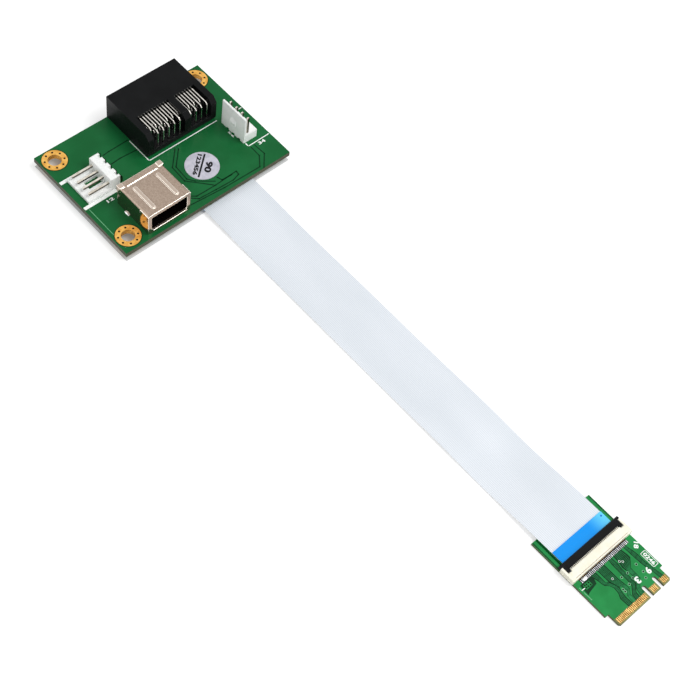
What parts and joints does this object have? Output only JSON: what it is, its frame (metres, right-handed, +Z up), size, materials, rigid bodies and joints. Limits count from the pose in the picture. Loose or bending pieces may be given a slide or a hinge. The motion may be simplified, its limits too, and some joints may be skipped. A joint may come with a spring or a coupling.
{
  "type": "pcie riser card",
  "caption": "Small riser: main board with right-angle expansion slot, USB port and pin headers, joined by a flat cable in flip-lock sockets to a keyed plug card.",
  "frame": {"origin": "centre of the bounding box in plan, at the surface the object lies on", "axes": "+X along the flat cable from the main board to the plug card's tip, +Y across the cable toward the upright header, +Z up from the table"},
  "size_m": [0.205, 0.06, 0.0136],
  "materials": {
    "board_green": "green solder mask over copper traces",
    "card_green": "lighter green solder mask",
    "gold_plate": "gold plating, smooth",
    "silver_foil": "satin silver label",
    "black_plastic": "moulded black, slight sheen",
    "tinned_metal": "tin plated, smooth",
    "nickel_shell": "nickel plated sheet",
    "white_nylon": "natural white nylon, slightly translucent",
    "cream_plastic": "moulded cream",
    "cable_film": "pale film over fine conductors",
    "blue_film": "blue stiffener film"
  },
  "bodies": {
    "riser": {"main_board": "board_green", "mounting_rings": "gold_plate", "sticker": "silver_foil", "slot_housing": "black_plastic", "slot_upper_contacts": "tinned_metal", "slot_lower_contacts": "tinned_metal", "usb_shell": "nickel_shell", "usb_insulator": "black_plastic", "usb_contacts": "gold_plate", "power_header_body": "white_nylon", "power_header_pins": "tinned_metal", "aux_header_body": "white_nylon", "aux_header_pins": "tinned_metal", "main_socket_body": "cream_plastic", "main_socket_contacts": "gold_plate", "main_socket_tabs": "tinned_metal", "card_socket_body": "cream_plastic", "card_socket_contacts": "gold_plate", "card_socket_tabs": "tinned_metal", "ribbon_cable": "cable_film", "main_stiffener": "blue_film", "card_stiffener": "blue_film", "card_board": "card_green", "card_top_fingers": "gold_plate", "card_bottom_fingers": "gold_plate"},
    "main_lock": {"main_socket_flap": "black_plastic"},
    "card_lock": {"card_socket_flap": "black_plastic"}
  },
  "joints": [
    {"name": "main_flap", "type": "hinge", "parent": "riser", "child": "main_lock", "pos_m": [-0.06595, 0.0071, 0.0002], "axis": [0, 1, 0], "range_deg": [0, 90]},
    {"name": "card_flap", "type": "hinge", "parent": "riser", "child": "card_lock", "pos_m": [0.08365, 0.0071, 0.00264], "axis": [0, 1, 0], "range_deg": [0, 90]}
  ]
}
